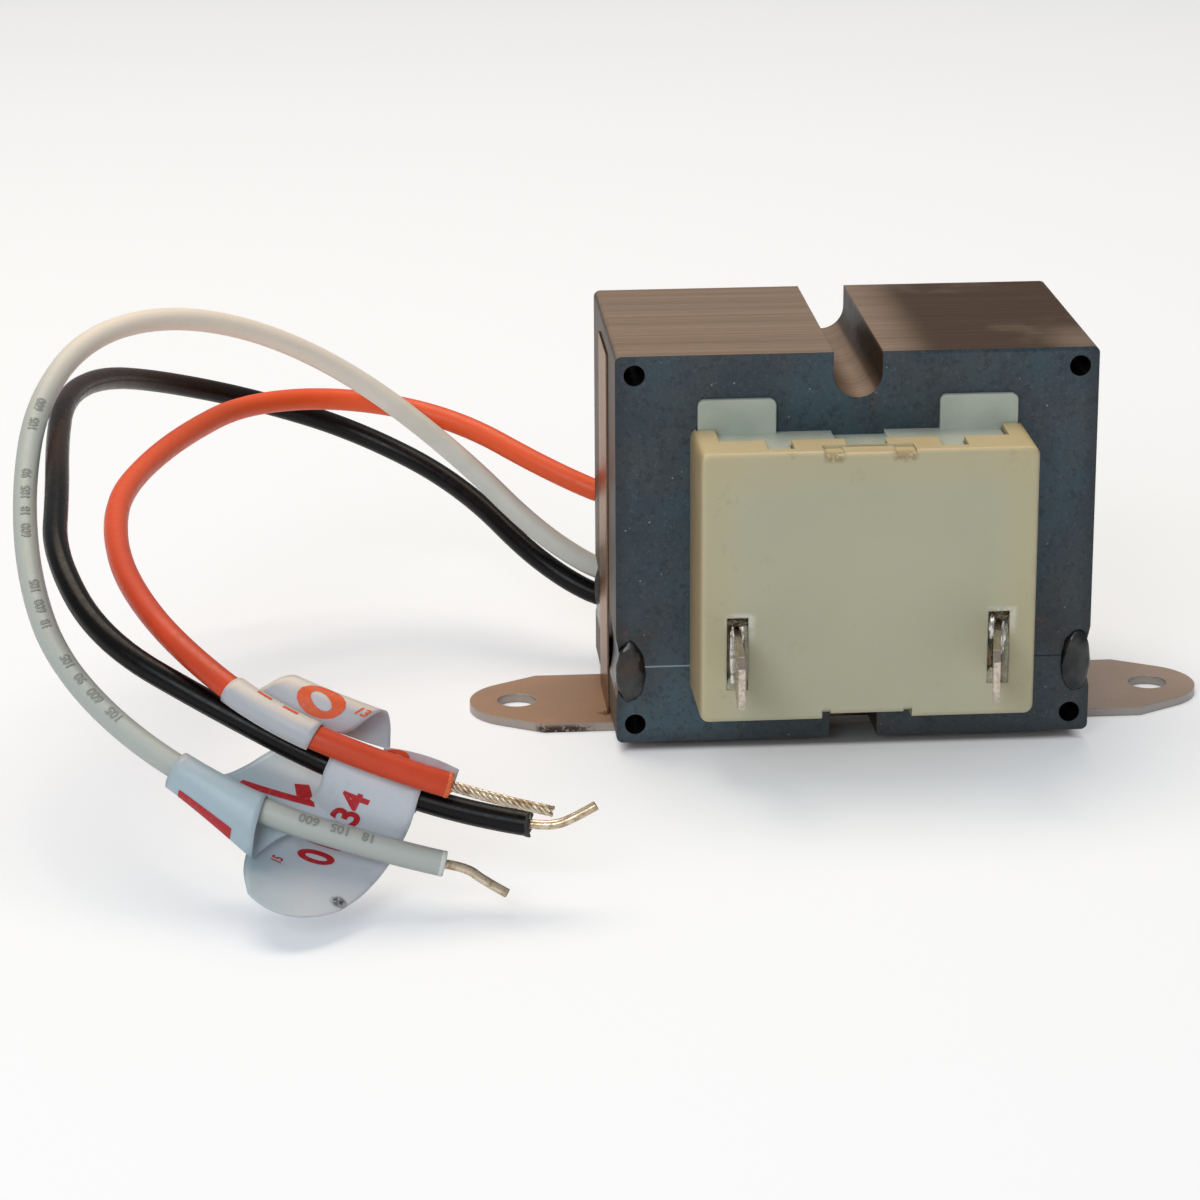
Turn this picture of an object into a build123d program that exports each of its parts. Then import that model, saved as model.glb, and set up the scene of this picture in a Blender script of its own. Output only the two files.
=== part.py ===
from build123d import *
from math import atan, degrees, radians, tan
import os

os.makedirs("parts", exist_ok=True)

# All sizes in mm. X runs along the foot holes, Y to the back, Z up.
# The origin is midway between the foot holes, on the underside of the plate.

# Core: scrapless E and I laminations, so every size of the face follows the tongue
tongue = 19.05
core_w = 3 * tongue
core_h = 2.5 * tongue
yoke = tongue / 2
leg_in = tongue            # inner side of an outer leg, from the middle
stack = 34.9
corner_r = 0.8             # rounded corner of a lamination
notch_w = 5.8              # U notch in the back of the E and in the I
notch_d = 5.5
corner_hole_d = 2.5
corner_hole_x = 2.27       # hole centre from the core's side
corner_hole_z = 2.3        # hole centre from the top or the bottom

# Foot: flat strip under the core with an ear at each end
foot_hole_pitch = 79.375
foot_hole_d = 4.8
foot_w = 18.6
foot_t = 1.1
ear_r = 7.2                # rounded end of an ear
ear_inside_hole = 1.34     # its centre, inside the hole's
ear_taper = 1.45           # end of the straight sides, inside that centre

# Strap: thin U under the core and up both sides
strap_t = 0.25
strap_w = 12.0
strap_below_top = 2.5

# Weld along the joint of E and I, on both sides
weld_half_h = 3.72
weld_depth = 3.4           # penetration from the core's side
weld_below_joint = 0.2     # weld centre under the joint
weld_dish = 0.45           # how hollow the weld's outer face is
weld_end_dish = 0.4        # how hollow its ends are

# Terminals: quick-connect blades
blade_h = 6.35
blade_t = 0.8
blade_reach = 23.5         # tip from the core's face
blade_root = 2.8           # depth in the bobbin's post
blade_chamfer = 1.1
blade_hole_d = 1.7
blade_hole_from_tip = 3.7
blade_lean_left = 0.75     # tip towards -X
blade_lean_right = 2.2

# Covers: drafted boxes over both ends of the coil
cover_over_leg = 0.7       # overlap on the outer legs, at the core's face
cover_over_yoke = 0.8      # overlap on the back of the E
cover_over_i = 3.325       # overlap on the I
cover_depth = 11.8
cover_draft = 0.1          # how much each side leans in over the depth
cover_wall = 1.2
cover_r = 1.2              # corners, seen from the front
cover_edge_r = 0.7         # edge round the end face
slot_from_side = 4.45      # middle of a terminal slot, from the cover's side
slot_above_bottom = 8.5    # and from its bottom
slot_side_fit = 0.85       # slot beside the blade
slot_end_fit = 1.22        # slot above and below the blade
recess_w = 10.6            # shallow recess in the bottom and the top wall, at the end face
recess_len = 3.0
bottom_recess_d = 0.6
nick_w = 1.0               # deeper nick at each side of the bottom recess
nick_d = 0.9
top_recess_d = 0.25
gate_w = 2.3               # broken-off gate at each side of the top recess
gate_d = 0.4

# Bobbin
tube_fit = 0.15            # round the middle leg
tube_wall = 0.9
flange_t = 1.0
flange_fit = 0.2           # flanges inside the covers and the core's windows, and beside the leads
window_fit = 0.1           # lowest flange above the I
tab_beside_tongue = 0.175  # upright tabs on the core's faces
tab_beside_leg = 0.15
tab_over_cover = 3.45
tab_t = 0.8
tab_r = 0.8
tab_fit = 0.2              # tab in the cover's rim
collar_from_side = 2.95    # collar in the cover's top, its end from the cover's side
collar_len = 6.05
collar_below_top = 0.7
collar_fit = 0.15          # collar in the cover's top wall
finger_x = 10.1            # fingers in front of the collar, two outer ones and one in the middle
finger_w = 2.75
finger_len = 3.8
mid_finger_w = 4.4
mid_finger_len = 2.5
channel_w = 6.3            # shallow channel along the middle of the collar
channel_d = 0.55
post_beside_slot = 0.75    # post that holds a terminal, behind its slot
post_t = 3.4

# Coil
coil_side_gap = 2.1        # tape to the outer leg
coil_end_gap = 0.9         # tape to the terminal posts
coil_r = 4.0
tape_t = 0.3
coil_fit = 0.05            # between winding and flange

# Leads: free routes, from the rear cover to the cut end
lead_d = 2.8
arc_share = 0.45           # share of a run that an arc may take
lead_inside = 0.45         # start of a lead, inside the cover's wall
lead_face_gap = 0.1        # lead to the core's rear face
lead_out_x = -25.5         # leads leave the cover straight up to here
black_exit = 2.35          # exits above the cover's bottom
white_exit = 5.75
orange_exit = 15.05
white_route = [(-34.5, 21.5, 15), (-46, 28, 25.5), (-58.5, 30.5, 35.5), (-71, 25.5, 42.5),
               (-82.5, 17, 46.5), (-91.5, 5.5, 46.5), (-97, -7.5, 42.5), (-98, -20.5, 35.5),
               (-96.5, -33.5, 28.5), (-92.5, -46, 23), (-84, -57, 17.5), (-72, -63.5, 11.8),
               (-58, -66, 7.1), (-50.8, -66.5, 5.8)]
black_route = [(-34.5, 22.5, 10.6), (-45, 33.5, 19), (-58.5, 40.5, 25.5), (-72, 39, 30.5),
               (-84, 31.5, 35), (-90.5, 18.5, 38.5), (-94, 4.5, 40), (-94, -10, 38.5),
               (-94, -24, 36), (-92.5, -38, 33), (-86.5, -50, 27), (-75, -56.5, 20.5),
               (-62, -60.5, 14.5), (-48.5, -63.5, 10.3), (-41.5, -65, 9.5)]
orange_route = [(-34, 22, 23.5), (-46, 31, 29), (-60.5, 35, 31.5), (-73, 27, 33),
                (-80, 14, 32.5), (-84.5, 1, 32), (-87, -12.5, 32), (-87, -26.5, 31),
                (-84.5, -40, 29.5), (-79, -52.5, 26.5), (-69.5, -62, 21.5), (-57, -64.5, 16),
                (-50, -64.5, 14)]

# Bare ends: a solid wire, a solid wire and a twist of strands
wire_d = 1.05
twist_d = 1.25
knee = 2.5                 # straight part of a bare end before its bend
white_tip = (-44.1, -67.6, 2.6)
black_tip = (-34.4, -65.6, 11.6)
orange_tip = (-39.1, -67.0, 11.6)

# Tags: paper labels wrapped round the leads, each with a flag that runs out along a direction
tag_w = 10.3
paper_t = 0.2
white_tag_from_end = 20.6
black_tag_from_end = 12.2
orange_tag_from_end = 15.8
white_flag = (0.55, 0.70, 0.46)
black_flag = (-0.52, -0.12, -0.84)
orange_flag = (0.59, 0.66, 0.46)
white_flag_len = 9.0
black_flag_len = 13.4
orange_flag_len = 9.0

# Levels and faces that follow from the sizes above
core_z = foot_t + strap_t
joint_z = core_z + yoke
core_top = core_z + core_h
window_top = core_top - yoke
side_x = core_w / 2
face_y = stack / 2
cover_half_w = leg_in + cover_over_leg
cover_z0 = joint_z - cover_over_i
cover_z1 = window_top + cover_over_yoke
cover_front = face_y + cover_depth
inside_front = cover_front - cover_wall
inside_top = cover_z1 - cover_draft - cover_wall
slot_x = cover_half_w - slot_from_side
slot_z = cover_z0 + slot_above_bottom
slot_w = blade_t + 2 * slot_side_fit
slot_h = blade_h + 2 * slot_end_fit
tube_half_x = tongue / 2 + tube_fit + tube_wall
tube_half_y = face_y + tube_fit + tube_wall
flange_half_y = inside_front - flange_fit
low_flange_z = joint_z + window_fit
high_flange_z = inside_top - flange_fit - flange_t
mid_flange_z = (low_flange_z + high_flange_z) / 2
bobbin_top = high_flange_z + flange_t
tab_x0 = tongue / 2 + tab_beside_tongue
tab_x1 = leg_in - tab_beside_leg
tab_z1 = cover_z1 + tab_over_cover
collar_half_w = cover_half_w - collar_from_side
collar_z1 = cover_z1 - collar_below_top
post_y = flange_half_y - post_t
root_y = flange_half_y - blade_root
lead_exit_x = -(cover_half_w - cover_wall - lead_inside)
lead_exit_y = face_y + lead_face_gap + lead_d / 2


def block(x0, x1, y0, y1, z0, z1):
    """Box between two corners."""
    return Pos((x0 + x1) / 2, (y0 + y1) / 2, (z0 + z1) / 2) * Box(x1 - x0, y1 - y0, z1 - z0)


def upright(x, y, z):
    """Plane that faces the front, with X to the right and Z up."""
    return Plane(origin=(x, y, z), x_dir=(1, 0, 0), z_dir=(0, -1, 0))


def through(x, z, sketch):
    """A profile in the XZ plane carried through the whole stack."""
    return extrude(upright(x, 0, z) * sketch, amount=face_y, both=True)


def u_notch(edge_z, into):
    """U notch from an edge of the core, its round end notch_d away."""
    r = notch_w / 2
    end_z = edge_z + into * (notch_d - r)
    return through(0, (edge_z + end_z) / 2, Rectangle(notch_w, notch_d - r)) + through(0, end_z, Circle(r))


def corner_holes(z):
    x = side_x - corner_hole_x
    return through(-x, z, Circle(corner_hole_d / 2)) + through(x, z, Circle(corner_hole_d / 2))


# Core
weld_z = joint_z - weld_below_joint
weld_section = Ellipse(weld_depth, weld_half_h)
weld_zones = through(-side_x, weld_z, weld_section) + through(side_x, weld_z, weld_section)
lamination = RectangleRounded(core_w, core_h, corner_r)
whole_core = through(0, core_z + core_h / 2, lamination)
above_joint = block(-core_w, core_w, -stack, stack, joint_z, joint_z + core_h)
window_mid = (leg_in + tongue / 2) / 2
window = Rectangle(leg_in - tongue / 2, window_top - joint_z)
windows = Pos(-window_mid, 0) * window + Pos(window_mid, 0) * window
core_e = (whole_core & above_joint) - through(0, (joint_z + window_top) / 2, windows)
core_e = core_e - u_notch(core_top, -1) - corner_holes(core_top - corner_hole_z) - weld_zones
core_i = whole_core - above_joint - u_notch(core_z, 1) - corner_holes(core_z + corner_hole_z) - weld_zones


def weld_bead(side):
    """Fill of the groove along the joint, hollow outside and at both ends."""
    fill = through(side * side_x, weld_z, weld_section) & whole_core
    dish_r = (weld_half_h**2 + weld_dish**2) / (2 * weld_dish)
    fill -= through(side * (side_x + dish_r - weld_dish), weld_z, Circle(dish_r))
    ball_r = (weld_depth**2 + weld_end_dish**2) / (2 * weld_end_dish)
    ball_y = face_y + ball_r - weld_end_dish
    for y in (-ball_y, ball_y):
        fill -= Pos(side * (side_x - weld_depth / 2), y, weld_z) * Sphere(ball_r)
    return fill


weld_left = weld_bead(-1)
weld_right = weld_bead(1)

# Foot and strap
hole_x = foot_hole_pitch / 2
ear_x = hole_x - ear_inside_hole
foot_outline = Rectangle(2 * (ear_x - ear_taper), foot_w)
foot_outline += [Pos(x, 0) * Circle(ear_r) for x in (-ear_x, ear_x)]
foot_holes = [Pos(x, 0) * Circle(foot_hole_d / 2) for x in (-hole_x, hole_x)]
mounting_plate = extrude(make_hull(foot_outline.edges()) - foot_holes, amount=foot_t)

strap_x = side_x + strap_t
strap_top = core_top - strap_below_top
core_strap = block(-strap_x, strap_x, -strap_w / 2, strap_w / 2, foot_t, strap_top)
core_strap -= block(-side_x, side_x, -strap_w, strap_w, core_z, core_top)

# Bobbin: a tube with three flanges, wider where they lie in the core's windows
bobbin = block(-tube_half_x, tube_half_x, -tube_half_y, tube_half_y, low_flange_z, bobbin_top)
wide_x = leg_in - flange_fit
wide_y = face_y - flange_fit
flange_half_x = -lead_exit_x - flange_fit
for z in (low_flange_z, mid_flange_z, high_flange_z):
    bobbin += block(-wide_x, wide_x, -wide_y, wide_y, z, z + flange_t)
    bobbin += block(-flange_half_x, flange_half_x, -flange_half_y, flange_half_y, z, z + flange_t)
leg_x = tongue / 2 + tube_fit
leg_y = face_y + tube_fit
bobbin -= block(-leg_x, leg_x, -leg_y, leg_y, core_z, core_top)


def collar(grow, z0, z1):
    """Plate with three fingers in the front cover's top wall, grown all round."""
    front_y = -(face_y + collar_len + grow)
    shape = block(-collar_half_w - grow, collar_half_w + grow, front_y, -face_y, z0, z1)
    outer = finger_w / 2 + grow
    for x in (-finger_x, finger_x):
        shape += block(x - outer, x + outer, front_y - finger_len, -face_y, z0, z1)
    middle = mid_finger_w / 2 + grow
    return shape + block(-middle, middle, front_y - mid_finger_len, -face_y, z0, z1)


# Its collars, and its tabs against the core's faces, in front and behind
tab_h = tab_z1 - bobbin_top
tab_outline = Rectangle(tab_x1 - tab_x0, tab_h)
tab_outline = fillet(tab_outline.vertices().group_by(Axis.Y)[-1], tab_r)
details = collar(0, high_flange_z, collar_z1)
details -= block(-channel_w / 2, channel_w / 2, -cover_front, -face_y, collar_z1 - channel_d, collar_z1)
for side in (-1, 1):
    tab_place = upright(side * (tab_x0 + tab_x1) / 2, -face_y, bobbin_top + tab_h / 2)
    details += extrude(tab_place * tab_outline, amount=tab_t)
bobbin += details
bobbin += mirror(details, about=Plane.XZ)

# Its posts for the terminals
post_half_w = slot_w / 2 + post_beside_slot
blade_z0 = slot_z - blade_h / 2
for x in (-slot_x, slot_x):
    bobbin += block(x - post_half_w, x + post_half_w, -flange_half_y, -post_y, low_flange_z, mid_flange_z)
    bobbin -= block(x - blade_t / 2, x + blade_t / 2, -flange_half_y, -root_y, blade_z0, blade_z0 + blade_h)

# Coil: windings and tapes between the flanges
coil_half_x = leg_in - coil_side_gap - tape_t
coil_half_y = post_y - coil_end_gap - tape_t
tube_outline = Rectangle(2 * tube_half_x, 2 * tube_half_y)
coil_outline = RectangleRounded(2 * coil_half_x, 2 * coil_half_y, coil_r)
tape_outline = RectangleRounded(2 * (coil_half_x + tape_t), 2 * (coil_half_y + tape_t), coil_r + tape_t)


def between(outline, flange_below, flange_above):
    """An outline carried up from one flange to the next."""
    z0 = flange_below + flange_t + coil_fit
    return extrude(Pos(0, 0, z0) * outline, amount=flange_above - coil_fit - z0)


primary_winding = between(coil_outline - tube_outline, low_flange_z, mid_flange_z)
primary_tape = between(tape_outline - coil_outline, low_flange_z, mid_flange_z)
secondary_winding = between(coil_outline - tube_outline, mid_flange_z, high_flange_z)
secondary_tape = between(tape_outline - coil_outline, mid_flange_z, high_flange_z)


def cover_shell():
    """Drafted box in front of the core, open towards it, with room for the bobbin's collar and tabs."""
    draft = degrees(atan(cover_draft / cover_depth))
    h = cover_z1 - cover_z0
    mouth = upright(0, -face_y, (cover_z0 + cover_z1) / 2)
    outside = extrude(mouth * RectangleRounded(2 * cover_half_w, h, cover_r), amount=cover_depth, taper=draft)
    outside = fillet(outside.faces().sort_by(Axis.Y)[0].edges(), cover_edge_r)
    room = Rectangle(2 * (cover_half_w - cover_wall), h - 2 * cover_wall)
    shell = outside - extrude(mouth * room, amount=cover_depth - cover_wall, taper=draft)

    def skin(x0, x1, length, depth, up):
        """Layer under the top or bottom face, from the end face back."""
        part = outside & block(x0, x1, -cover_front, -cover_front + length, cover_z0, cover_z1)
        return part - Pos(0, 0, -up * depth) * outside

    recess_x = recess_w / 2
    shell -= skin(-recess_x, recess_x, recess_len, bottom_recess_d, -1)
    shell -= skin(-recess_x, recess_x, recess_len, top_recess_d, 1)
    shell -= collar(collar_fit, bobbin_top, cover_z1)
    tab_room = face_y + tab_t + tab_fit
    for side in (-1, 1):
        for w, depth, up in ((nick_w, nick_d, -1), (gate_w, gate_d, 1)):
            x = side * (recess_x - w / 2)
            shell -= skin(x - w / 2, x + w / 2, recess_len, depth, up)
        x = side * (tab_x0 + tab_x1) / 2
        half = (tab_x1 - tab_x0) / 2 + tab_fit
        shell -= block(x - half, x + half, -tab_room, -face_y, bobbin_top - tab_fit, cover_z1)
    return shell


shell = cover_shell()
front_cover = shell
for x in (-slot_x, slot_x):
    front_cover -= block(x - slot_w / 2, x + slot_w / 2, -cover_front, -inside_front,
                         slot_z - slot_h / 2, slot_z + slot_h / 2)

rear_cover = mirror(shell, about=Plane.XZ)
lead_r = lead_d / 2
white_z, black_z, orange_z = (cover_z0 + e for e in (white_exit, black_exit, orange_exit))
wall_len = lead_exit_x + cover_half_w
for z in (white_z, black_z, orange_z):
    rear_cover -= block(-cover_half_w, lead_exit_x, face_y, lead_exit_y, z - lead_r, z + lead_r)
    rear_cover -= Pos(lead_exit_x - wall_len / 2, lead_exit_y, z) * Rot(0, 90, 0) * Cylinder(lead_r, wall_len)


def blade(x, lean):
    """Blade with its root in the post, then leaning over to its tip."""
    tip_y = face_y + blade_reach
    t = blade_t / 2
    plan = Polygon((x - t, -root_y), (x - t, -flange_half_y), (x - lean - t, -tip_y), (x - lean + t, -tip_y),
                   (x + t, -flange_half_y), (x + t, -root_y), align=None)
    tab = extrude(Pos(0, 0, blade_z0) * plan, amount=blade_h)
    tab = chamfer(tab.faces().sort_by(Axis.Y)[0].edges().filter_by(Axis.X), blade_chamfer)
    hole = Pos(x - lean, -tip_y + blade_hole_from_tip, slot_z) * Rot(0, 90, 0)
    return tab - hole * Cylinder(blade_hole_d / 2, blade_h)


terminal_left = blade(-slot_x, blade_lean_left)
terminal_right = blade(slot_x, blade_lean_right)


def cord_path(name, points):
    """Straight runs joined by tangent arcs, each as wide as its shorter run allows."""
    corners = [Vector(*p) for p in points]
    runs = [b - a for a, b in zip(corners, corners[1:])]
    radii = []
    for before, after in zip(runs, runs[1:]):
        half_turn = radians(before.get_angle(after)) / 2
        radii.append(arc_share * min(before.length, after.length) / tan(half_turn))
    path = FilletPolyline(*corners, radius=radii)
    print(name, "length %.1f" % path.length, "radii", [round(r, 1) for r in radii])
    return path


def lead_path(name, exit_z, route):
    exit_run = [(lead_exit_x, lead_exit_y, exit_z), (lead_out_x, lead_exit_y, exit_z)]
    return cord_path("lead_" + name, exit_run + route)


def tube(path, d):
    return sweep(Plane(origin=path @ 0, z_dir=path % 0) * Circle(d / 2), path=path)


def bare_end(name, path, tip, d):
    """Stripped conductor that goes on from a lead's cut face and bends towards its tip."""
    return tube(cord_path("lead_" + name + "_end", [path @ 1, path @ 1 + (path % 1) * knee, tip]), d)


def tag(path, lead, from_end, flag, flag_len):
    """Paper wrapped round a lead, with a flat flag that runs out along a direction."""
    stretch = path.trim(1 - (from_end + tag_w) / path.length, 1 - from_end / path.length)
    along = stretch % 0.5
    out = Vector(*flag).normalized() * flag_len
    skew = out.dot(along)
    square = out - along * skew
    flat = Plane(origin=stretch @ 0.5, x_dir=along, z_dir=along.cross(square))
    w = tag_w / 2
    corners = [(-w, 0), (w, 0), (w + skew, square.length), (-w + skew, square.length)]
    sheet = extrude(flat * Polygon(*corners, align=None), amount=paper_t / 2, both=True)
    return tube(stretch, lead_d + 2 * paper_t) + sheet - lead


white_path = lead_path("white", white_z, white_route)
black_path = lead_path("black", black_z, black_route)
orange_path = lead_path("orange", orange_z, orange_route)
lead_white = tube(white_path, lead_d)
lead_black = tube(black_path, lead_d)
lead_orange = tube(orange_path, lead_d)

nodes = {
    "mounting_plate": mounting_plate,
    "core_strap": core_strap,
    "core_e_stack": core_e,
    "core_i_stack": core_i,
    "weld_bead_left": weld_left,
    "weld_bead_right": weld_right,
    "bobbin": bobbin,
    "primary_winding": primary_winding,
    "primary_tape": primary_tape,
    "secondary_winding": secondary_winding,
    "secondary_tape": secondary_tape,
    "front_cover": front_cover,
    "rear_cover": rear_cover,
    "terminal_left": terminal_left,
    "terminal_right": terminal_right,
    "lead_white": lead_white,
    "lead_black": lead_black,
    "lead_orange": lead_orange,
    "lead_white_end": bare_end("white", white_path, white_tip, wire_d),
    "lead_black_end": bare_end("black", black_path, black_tip, wire_d),
    "lead_orange_end": bare_end("orange", orange_path, orange_tip, twist_d),
    "tag_white": tag(white_path, lead_white, white_tag_from_end, white_flag, white_flag_len),
    "tag_black": tag(black_path, lead_black, black_tag_from_end, black_flag, black_flag_len),
    "tag_orange": tag(orange_path, lead_orange, orange_tag_from_end, orange_flag, orange_flag_len),
}
for name, shape in nodes.items():
    solids = shape.solids()
    print(name, "solids", len(solids), "volume %.1f" % sum(s.volume for s in solids))
    export_step(shape, "parts/" + name + ".step")
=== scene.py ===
"""Dual voltage transformer: leads, tags, print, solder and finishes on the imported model, with its stage."""
import math

import bmesh
import bpy
from mathutils import Matrix, Vector, noise


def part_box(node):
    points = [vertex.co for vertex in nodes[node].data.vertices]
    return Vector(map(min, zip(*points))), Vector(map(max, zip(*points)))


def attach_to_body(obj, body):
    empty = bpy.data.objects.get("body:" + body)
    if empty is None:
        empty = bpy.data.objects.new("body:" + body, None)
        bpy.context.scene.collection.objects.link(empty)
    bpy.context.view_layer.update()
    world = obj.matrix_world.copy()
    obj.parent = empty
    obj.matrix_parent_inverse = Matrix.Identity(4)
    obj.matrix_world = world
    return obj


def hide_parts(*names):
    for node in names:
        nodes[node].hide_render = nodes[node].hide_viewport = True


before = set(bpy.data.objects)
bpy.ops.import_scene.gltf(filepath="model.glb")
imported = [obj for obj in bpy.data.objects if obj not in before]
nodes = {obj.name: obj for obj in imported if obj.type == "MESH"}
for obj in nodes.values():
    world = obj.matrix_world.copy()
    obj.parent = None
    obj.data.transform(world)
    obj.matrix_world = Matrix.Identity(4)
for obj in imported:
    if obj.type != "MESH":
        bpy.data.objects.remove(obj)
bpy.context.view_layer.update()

# Sizes and places are in mm in the part's frame, and MM turns them into metres
MM = 0.001


def box_of(node):
    """Low and high corner of a CAD node's box."""
    return [Vector(corner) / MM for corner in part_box(node)]


# Places on the part that finishes and small pieces follow
CORE_HALF, CORE_DEPTH, CORE_TOP = box_of("core_e_stack")[1]
CORE_LOW, JOINT_Z = (corner.z for corner in box_of("core_i_stack"))
SHEET_T, GROUP_T = 0.5, 2.7  # a sheet, and a run of sheets of one tone
NOTCH_HALF, NOTCH_D = 2.9, 5.5
NOTCH_LOW = CORE_TOP - NOTCH_D
HOLE_IN, HOLE_R = 2.3, 1.25
(_, COVER_FRONT, _), (COVER_HALF, _, COVER_TOP) = box_of("front_cover")
SLOT_X, SLOT_HALF_W = 15.3, 1.25
SLOT_MIDDLE, SLOT_HALF_H = 16.05, 4.4
SLOT_Y = COVER_FRONT + 0.4
GATES = ((-4.15, 1.2), (4.0, 1.45))  # middle and half width of the gate marks
TACK_X, TACK_Y = -29.1, -5.8  # rusty tack weld on the left foot

# Leads: the part's own routes. To follow the photograph, most points are moved by less than a millimetre
# and those beside the exits by up to 4 mm.
LEAD_D = 2.8
EXIT_X, OUT_X, EXIT_Y = -18.1, -24.2, 18.95
WHITE_ROUTE = [(EXIT_X, EXIT_Y, 13.3), (OUT_X, EXIT_Y, 9.8), (-34.8, 21.4, 15.4), (-45.5, 28, 25.3),
               (-58.5, 30.5, 35.5), (-71, 25.5, 43.2), (-82.5, 17, 47.2), (-91.5, 5.5, 47.1),
               (-96.4, -7.5, 42.5), (-97.4, -20.5, 35.5), (-96.1, -33.5, 28.5), (-92.4, -46, 23),
               (-84, -57, 17.5), (-72, -63.5, 11.9), (-58, -66, 7.6), (-50.8, -66.5, 5.8)]
BLACK_ROUTE = [(EXIT_X, EXIT_Y, 9.9), (OUT_X, EXIT_Y, 6.4), (-34.8, 22, 11.3), (-45, 33.5, 19.7),
               (-58.5, 40.5, 25.5), (-72, 39, 30.5), (-84, 31.5, 35.2), (-90.5, 18.5, 39.1),
               (-94, 4.5, 40.2), (-94, -10, 38.5), (-93.2, -24, 36), (-92.9, -38, 32.9),
               (-87.3, -50, 26.6), (-75, -56.5, 20.9), (-62, -60.5, 14.6), (-48.5, -63.5, 10.3),
               (-41.5, -65, 9.5)]
ORANGE_ROUTE = [(EXIT_X, EXIT_Y, 22.6), (OUT_X, EXIT_Y, 20.6), (-34, 22.4, 24.3), (-46, 31, 29.5),
                (-60.5, 35, 31.6), (-73, 27, 33), (-80, 14, 32.6), (-84.5, 1, 32.2), (-87, -12.5, 32),
                (-86.8, -26.5, 31), (-84.5, -40, 29.6), (-79, -52.5, 26.6), (-69.5, -62, 21.6),
                (-57, -64.5, 16.4), (-50, -64.5, 14)]

# Bare ends, from the cut face of a lead to the tip
WIRE_D = 1.05
WHITE_END = [WHITE_ROUTE[-1], (-48.4, -66.7, 5.4), (-46.6, -67.2, 4.0), (-44.1, -67.6, 2.6)]
BLACK_END = [BLACK_ROUTE[-1], (-39.3, -65.4, 9.3), (-37.0, -65.6, 10.1), (-34.4, -65.6, 11.6)]
ORANGE_END = [ORANGE_ROUTE[-1], (-46.5, -65.2, 13.0), (-42.5, -66.2, 12.2), (-39.1, -67.0, 11.6)]
STRAND_D = 0.42
STRAND_COUNT = 6
STRAND_PITCH = 4.2
STRAND_STAGGER = 0.25
STRAND_STEPS = 24

# Smoothness of leads and wires, along and around
STEPS_ALONG, STEPS_AROUND = 12, 5

# Camera, fitted to the photograph
CAMERA_AT = (-60.39, -443.36, 154.39)
YAW, PITCH, ROLL = math.radians(4.019), math.radians(17.545), math.radians(0.347)
LENS, SENSOR = 113.2, 36.0
CLIP_START, CLIP_END = 0.01, 20.0  # in metres


def camera_axes():
    """The camera's right, down and forward axes."""
    forward = Vector((math.sin(YAW) * math.cos(PITCH), math.cos(YAW) * math.cos(PITCH), -math.sin(PITCH)))
    level = Vector((math.cos(YAW), -math.sin(YAW), 0))
    down = forward.cross(level)
    right = level * math.cos(ROLL) + down * math.sin(ROLL)
    return right, down * math.cos(ROLL) - level * math.sin(ROLL), forward


RIGHT, DOWN, FORWARD = camera_axes()


def add_object(name, data):
    obj = bpy.data.objects.new(name, data)
    bpy.context.scene.collection.objects.link(obj)
    return obj


def place_camera():
    data = bpy.data.cameras.new("camera")
    data.lens = LENS
    data.sensor_width = SENSOR
    data.clip_start = CLIP_START
    data.clip_end = CLIP_END
    camera = add_object("camera", data)
    turn = Matrix((RIGHT, -DOWN, -FORWARD)).transposed().to_4x4()
    camera.matrix_world = Matrix.Translation(Vector(CAMERA_AT) * MM) @ turn
    bpy.context.scene.camera = camera


place_camera()


def nurbs(name, routes, diameter=0.0):
    """A curve object with one NURBS spline for each route, given in mm."""
    curve = bpy.data.curves.new(name, "CURVE")
    curve.dimensions = "3D"
    curve.resolution_u = STEPS_ALONG
    curve.bevel_depth = diameter / 2 * MM
    curve.bevel_resolution = STEPS_AROUND
    curve.use_fill_caps = True
    for route in routes:
        spline = curve.splines.new("NURBS")
        spline.points.add(len(route) - 1)
        for point, place in zip(spline.points, route):
            point.co = (*(Vector(place) * MM), 1)
        spline.order_u = 3
        spline.use_endpoint_u = True
    return add_object(name, curve)


class Line:
    """Points read from a route's NURBS spline, looked up by their distance from its end, in mm."""

    def __init__(self, route):
        guide = nurbs("guide", [route])
        mesh = bpy.data.meshes.new_from_object(guide)
        self.points = [v.co / MM for v in mesh.vertices][::-1]
        bpy.data.meshes.remove(mesh)
        bpy.data.objects.remove(guide)
        self.at = [0.0]
        for a, b in zip(self.points, self.points[1:]):
            self.at.append(self.at[-1] + (b - a).length)
        self.length = self.at[-1]
        ends = [self.points[0], *self.points, self.points[-1]]
        self.ways = [(a - b).normalized() for a, b in zip(ends, ends[2:])]

    def place(self, distance):
        """Point at that distance from the end, and the direction towards the end."""
        i = 1
        while i < len(self.at) - 1 and self.at[i] < distance:
            i += 1
        a, b = self.points[i - 1], self.points[i]
        share = (distance - self.at[i - 1]) / (self.at[i] - self.at[i - 1])
        return a.lerp(b, share), self.ways[i - 1].lerp(self.ways[i], share).normalized()

    def section(self, distance):
        """Point, direction, and the two axes across: up in the view and away from the camera."""
        point, along = self.place(distance)
        away = (FORWARD - along * FORWARD.dot(along)).normalized()
        return point, along, along.cross(away), away

    def around(self, distance, angle, radius):
        """A place beside the line, at an angle from up towards away."""
        point, _, up, away = self.section(distance)
        return point + (up * math.cos(angle) + away * math.sin(angle)) * radius


def mesh_object(name, vertices, faces, soft=True):
    mesh = bpy.data.meshes.new(name)
    mesh.from_pydata([Vector(v) * MM for v in vertices], [], faces)
    mesh.polygons.foreach_set("use_smooth", [soft] * len(mesh.polygons))
    return add_object(name, mesh)


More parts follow.
